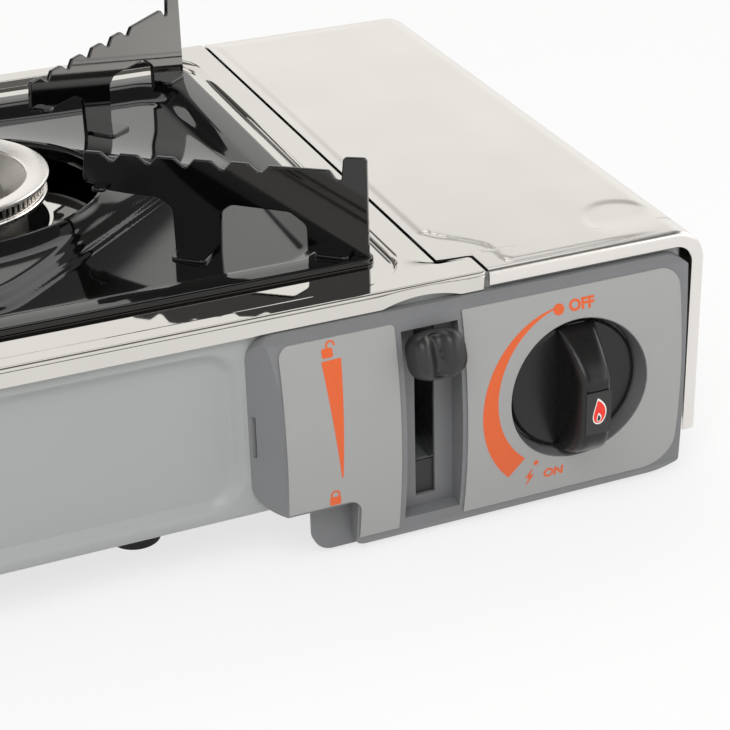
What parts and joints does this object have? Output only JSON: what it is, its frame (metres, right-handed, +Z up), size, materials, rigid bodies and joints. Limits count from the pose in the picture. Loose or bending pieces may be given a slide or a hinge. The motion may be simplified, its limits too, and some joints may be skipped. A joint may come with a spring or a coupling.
{
  "type": "cassette stove",
  "caption": "Portable gas stove: enamelled drip tray with notched pan supports over a ring burner, bow-fronted panel with knob and lock lever, hinged lid over the cartridge bay.",
  "frame": {"origin": "on the table under the middle of the stove's outline", "axes": "+X to the right along the front, +Y to the back, +Z up"},
  "size_m": [0.372, 0.278, 0.1279],
  "materials": {
    "body_paint": "satin light grey paint",
    "stainless": "satin to polished stainless sheet",
    "enamel": "gloss black enamel",
    "panel_plastic": "fine-textured grey moulding",
    "face_print": "light grey with orange print",
    "knob_plastic": "semi-gloss black",
    "label_print": "black label with a red flame",
    "pad_plastic": "satin charcoal",
    "galvanised_steel": "galvanised",
    "cast_aluminium": "satin casting",
    "strip_aluminium": "mill",
    "brass": "drawn",
    "rubber": "matt",
    "ceramic": "glazed white",
    "igniter_plastic": "ivory",
    "wire_sleeve": "silicone sleeve"
  },
  "bodies": {
    "base": {"bay_partition": "galvanised_steel", "body_shell": "body_paint", "bracket_screw_1": "galvanised_steel", "bracket_screw_2": "galvanised_steel", "burner_base": "cast_aluminium", "burner_bracket": "galvanised_steel", "burner_dish": "cast_aluminium", "burner_head": "cast_aluminium", "burner_screw_left": "galvanised_steel", "burner_screw_right": "galvanised_steel", "cartridge_cradle": "galvanised_steel", "cartridge_seat": "brass", "control_panel": "panel_plastic", "electrode": "galvanised_steel", "electrode_insulator": "ceramic", "electrode_shelf": "galvanised_steel", "face_plate_left": "face_print", "face_plate_right": "face_print", "foot_1": "rubber", "foot_2": "rubber", "foot_3": "rubber", "foot_4": "rubber", "foot_5": "rubber", "foot_6": "rubber", "gas_tube": "brass", "heat_strip": "strip_aluminium", "hinge_bracket_front": "galvanised_steel", "hinge_bracket_rear": "galvanised_steel", "hinge_pin_front": "galvanised_steel", "hinge_pin_rear": "galvanised_steel", "ignition_wire": "wire_sleeve", "jet": "brass", "jet_bracket": "galvanised_steel", "lever_bracket": "galvanised_steel", "lever_pin": "galvanised_steel", "lid_buffer_front": "rubber", "lid_buffer_rear": "rubber", "mixing_tube": "cast_aluminium", "piezo_igniter": "igniter_plastic", "regulator_body": "cast_aluminium", "regulator_bracket": "galvanised_steel", "regulator_cover": "cast_aluminium", "seat_seal": "rubber", "top_plate": "stainless", "wire_grommet": "rubber"},
    "lid": {"lid": "stainless"},
    "knob": {"knob": "knob_plastic", "knob_insert": "label_print", "valve_spindle": "galvanised_steel"},
    "lever": {"lever_arm": "galvanised_steel", "lever_knob": "pad_plastic"},
    "slide": {"collar_slide": "galvanised_steel"},
    "tray": {"drip_tray": "enamel", "pan_support_1": "enamel", "pan_support_2": "enamel", "pan_support_3": "enamel", "pan_support_4": "enamel"}
  },
  "joints": [
    {"name": "lid_hinge", "type": "hinge", "parent": "base", "child": "lid", "pos_m": [0.1831, 0, 0.0175], "axis": [0, 1, 0], "range_deg": [0, 95]},
    {"name": "knob_turn", "type": "hinge", "parent": "base", "child": "knob", "pos_m": [0.1331, -0.12, 0.0467], "axis": [0, -1, 0], "range_deg": [0, 135]},
    {"name": "lever_swing", "type": "hinge", "parent": "base", "child": "lever", "pos_m": [0.0795, -0.07237, 0.051], "axis": [1, 0, 0], "range_deg": [0, 44]},
    {"name": "slide_travel", "type": "slide", "parent": "base", "child": "slide", "axis": [0, -1, 0], "range_m": [0, 0.0075]},
    {"name": "tray_lift", "type": "slide", "parent": "base", "child": "tray", "axis": [0, 0, 1], "range_m": [0, 0.12]}
  ],
  "couplings": [
    {"joint": "slide_travel", "follows": "lever_swing", "m_per_rad": 0.0097561}
  ]
}
